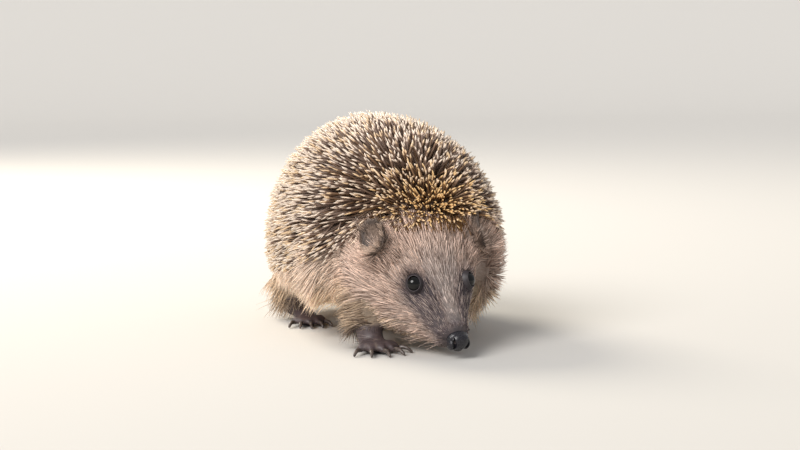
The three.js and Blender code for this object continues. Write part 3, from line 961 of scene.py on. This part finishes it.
LID_REACH = [2.66, 2.72, 2.82, 2.96, 3.15, 3.36, 3.6, 3.85, 4.0]
LID_HEIGHT = [1.75, 2.1, 2.18, 2.02, 1.55, 1.15, 0.5, -0.5, -1.0]
LID_TALL = 1.2
EYE_SUNK = 0.8
for side, sign in (("left", 1), ("right", -1)):
    gap = np.linalg.norm(inner - eye_centres[side], axis=1)
    outwards = unit(skin_normals[(gap > 4.5) & (gap < 8)].mean(0)[None])[0]
    centre = eye_centres[side] - outwards * EYE_SUNK
    tall = along_skin((HEAD_TURN @ np.array([0, 0.7, 0.7]))[None], outwards[None])[0]
    bpy.ops.mesh.primitive_uv_sphere_add(segments=48, ring_count=24, radius=EYE_RADIUS * MM, location=centre * MM, rotation=facing(outwards))
    eye = bpy.context.active_object
    eye.name = f"eyeball_{side}"
    eye.data.materials.append(eye_finish)
    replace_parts(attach(settle(eye), "root"), f"eye_{side}")
    bpy.ops.mesh.primitive_circle_add(vertices=44, radius=LID_REACH[0] * MM, location=(0, 0, LID_HEIGHT[0] * MM))
    lid = bpy.context.active_object
    lid.name = f"eyelid_{side}"
    bpy.ops.object.mode_set(mode="EDIT")
    bpy.ops.mesh.select_all(action="SELECT")
    for ring in range(1, len(LID_REACH)):
        rise = (LID_HEIGHT[ring] - LID_HEIGHT[ring - 1]) * MM
        grown = LID_REACH[ring] / LID_REACH[ring - 1]
        bpy.ops.mesh.extrude_region_move(TRANSFORM_OT_translate={"value": (0, 0, rise)})
        bpy.ops.transform.resize(value=(grown, grown, 1), center_override=(0, 0, 0))
    bpy.ops.mesh.select_all(action="SELECT")
    bpy.ops.transform.resize(value=(1, LID_TALL, 1), center_override=(0, 0, 0))
    bpy.ops.mesh.normals_make_consistent(inside=False)
    bpy.ops.object.mode_set(mode="OBJECT")
    bpy.ops.object.transform_apply(location=True, rotation=False, scale=False)
    finish_modifier(lid, "SUBSURF", levels=1, render_levels=1)
    reach = np.hypot(points_of(lid)[:, 0], points_of(lid)[:, 1] / LID_TALL)
    set_numbers(lid.data, "outwards", (reach - LID_REACH[0]) / (LID_REACH[-1] - LID_REACH[0]))
    axes = np.column_stack([np.cross(tall, outwards), tall, outwards])
    lid.matrix_world = Matrix.Translation(Vector(centre * MM)) @ Matrix([list(row) for row in axes]).to_4x4()
    hem = lid.vertex_groups.new(name="hem")
    for i in np.nonzero(reach > LID_REACH[-3] + 0.2)[0]:
        hem.add([int(i)], 1.0, "REPLACE")
    settle(lid)
    finish_modifier(lid, "SHRINKWRAP", target=skin, vertex_group="hem", offset=0.02 * MM)
    lid.vertex_groups.clear()
    lid.data.materials.append(lid_finish)
    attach(lid, "root")
print("eyes made")

# %% [markdown]
# ## Nose
# The nose pad is a moist, finely pebbled button. Its nostrils are comma-shaped slits that open forwards and curl out
# to the sides.

# %% Nose
nose_finish, tree, shader = new_material("moist_nose", 0.27)
pebbles = add_node(tree, "ShaderNodeTexVoronoi")
pebbles.inputs["Scale"].default_value = 2200
tree.links.new(add_node(tree, "ShaderNodeTexCoord").outputs["Object"], pebbles.inputs["Vector"])
tree.links.new(ramp(tree, pebbles.outputs["Distance"], [(0.0, linear(52, 50, 58)), (0.6, linear(22, 20, 25))]), shader.inputs["Base Color"])
bump = add_node(tree, "ShaderNodeBump")
bump.invert = True
bump.inputs["Strength"].default_value = 0.5
bump.inputs["Distance"].default_value = 0.00015
tree.links.new(pebbles.outputs["Distance"], bump.inputs["Height"])
tree.links.new(bump.outputs["Normal"], shader.inputs["Normal"])


def lobe(place, size):
    """A rounded lump at a place in the head's frame, with its half sizes in mm."""
    turn = Matrix([list(row) for row in HEAD_TURN]).to_euler()
    bpy.ops.mesh.primitive_uv_sphere_add(segments=32, ring_count=20, radius=MM, location=from_head(*place) * MM, rotation=turn, scale=size)
    piece = bpy.context.active_object
    bpy.ops.object.transform_apply(location=True, rotation=True, scale=True)
    return piece


def joined(pieces, name):
    bpy.ops.object.select_all(action="DESELECT")
    for piece in pieces:
        piece.select_set(True)
    bpy.context.view_layer.objects.active = pieces[0]
    bpy.ops.object.join()
    whole = bpy.context.view_layer.objects.active
    whole.name = name
    return whole


PAD = [((0, 2.7, 0.0), (4.5, 3.3, 4.0)), ((0, 4.4, -0.2), (5.1, 2.6, 3.8))]
WING = ((3.3, 2.5, -1.3), (1.9, 2.4, 2.6))
CHIN_OF_PAD = ((0, 2.1, -3.1), (2.6, 1.9, 1.5))
lobes = [lobe(*part) for part in [*PAD, CHIN_OF_PAD]]
for sign in (1, -1):
    lobes.append(lobe((sign * WING[0][0], *WING[0][1:]), WING[1]))
nose = joined(lobes, "nose_pad")
finish_modifier(nose, "REMESH", mode="VOXEL", voxel_size=0.22 * MM)
NOSTRIL = [((2.8, 0.55, -1.2), 0.8), ((3.0, 0.9, -0.4), 1.0), ((3.1, 1.35, 0.4), 1.0), ((3.15, 1.95, 1.2), 0.9), ((3.1, 2.55, 1.9), 0.7)]
holes = []
for sign in (1, -1):
    for place, half in NOSTRIL:
        holes.append(lobe((sign * place[0], place[1], place[2]), (half * 0.85, half * 1.6, half)))
groove = lobe((0, -0.65, -2.0), (0.28, 0.9, 2.4))
cutter = joined([*holes, groove], "nostril_cutter")
finish_modifier(cutter, "REMESH", mode="VOXEL", voxel_size=0.15 * MM)
finish_modifier(nose, "BOOLEAN", operation="DIFFERENCE", object=cutter, solver="EXACT")
bpy.data.objects.remove(cutter)
finish_modifier(nose, "REMESH", mode="VOXEL", voxel_size=0.18 * MM)
finish_modifier(nose, "SMOOTH", factor=0.5, iterations=4)
nose.data.materials.clear()
nose.data.materials.append(nose_finish)
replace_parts(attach(settle(nose), "root"), "nose")
print("nose faces:", len(nose.data.polygons))

# %% [markdown]
# ## Claws
# The imported claws have the right place and curve. Smoothed copies stand in for them, in dark, mottled horn.

# %% Claws
claw_finish, tree, shader = new_material("claw_horn", 0.35)
horn = add_node(tree, "ShaderNodeTexNoise")
horn.inputs["Scale"].default_value = 700
tree.links.new(add_node(tree, "ShaderNodeTexCoord").outputs["Object"], horn.inputs["Vector"])
tree.links.new(ramp(tree, horn.outputs["Fac"], [(0.3, linear(52, 44, 42)), (0.7, linear(98, 86, 80))]), shader.inputs["Base Color"])
for limb in LIMBS:
    for i in range(1, 6):
        claw = copy_of(f"{limb}_claw_{i}", f"horn_{limb}_{i}")
        finish_modifier(claw, "SUBSURF", levels=1, render_levels=1)
        finish_modifier(claw, "DISPLACE", strength=0.3 * MM, mid_level=0)
        claw.data.materials.clear()
        claw.data.materials.append(claw_finish)
        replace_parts(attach(settle(claw), "root"), f"{limb}_claw_{i}")
print("claws made: 20")

# %% [markdown]
# ## Floor, light and camera
# The animal stands on a plain pale sweep that curves up behind it. A large soft light from the upper left carries the
# form, a wide weak one fills the shadows, and one from behind draws a warm rim along the spine tips.

# %% Floor
bpy.ops.mesh.primitive_plane_add(size=6, location=(0, 1.0, 0))
floor = bpy.context.active_object
floor.name = "floor"
bpy.ops.object.mode_set(mode="EDIT")
bpy.ops.mesh.select_mode(type="EDGE")
bpy.ops.mesh.select_all(action="DESELECT")
bpy.ops.object.mode_set(mode="OBJECT")
for edge in floor.data.edges:
    edge.select = all(floor.data.vertices[v].co.y > 2.9 for v in edge.vertices)
bpy.ops.object.mode_set(mode="EDIT")
bpy.ops.mesh.extrude_region_move(TRANSFORM_OT_translate={"value": (0, 0, 4)})
bpy.ops.object.mode_set(mode="OBJECT")
finish_modifier(floor, "BEVEL", width=1.5, segments=24, limit_method="ANGLE")
settle(floor)
floor_finish, tree, shader = new_material("pale_floor", 0.85)
shader.inputs["Base Color"].default_value = (0.62, 0.6, 0.57, 1)
floor.data.materials.append(floor_finish)
print("floor faces:", len(floor.data.polygons))

# %% Lights


def soft_light(name, power, size, place, target, colour):
    bpy.ops.object.light_add(type="AREA", location=place)
    light = bpy.context.active_object
    light.name = name
    light.data.shape = "DISK"
    light.data.size = size
    light.data.energy = power
    light.data.color = colour
    light.rotation_euler = (Vector(target) - Vector(place)).to_track_quat("-Z", "Y").to_euler()
    return light


bpy.ops.object.light_add(type="SUN", location=(-0.9, -0.4, 0.8))
daylight = bpy.context.active_object
daylight.name = "key"
daylight.data.energy = 2.9
daylight.data.angle = math.radians(34)
daylight.data.color = (1.0, 0.975, 0.95)
daylight.rotation_euler = Vector((0.8, 0.5, -0.75)).to_track_quat("-Z", "Y").to_euler()
soft_light("rim", 16, 0.6, (-0.45, 0.95, 0.85), (0, 0, 0.06), (1.0, 0.92, 0.78))
world = bpy.data.worlds.new("studio")
world.use_nodes = True
world.node_tree.nodes["Background"].inputs["Color"].default_value = (0.96, 0.98, 1.0, 1)
world.node_tree.nodes["Background"].inputs["Strength"].default_value = 0.48
bpy.context.scene.world = world
bpy.context.scene.view_settings.view_transform = "Standard"

# %% Camera
bpy.ops.object.camera_add(location=(-0.24598, -0.78063, 0.127), rotation=(math.radians(84.5), 0, math.radians(-18)))
camera = bpy.context.active_object
camera.data.lens = 80
camera.data.sensor_width = 36
bpy.context.scene.camera = camera
print("camera:", [round(v, 3) for v in camera.location])
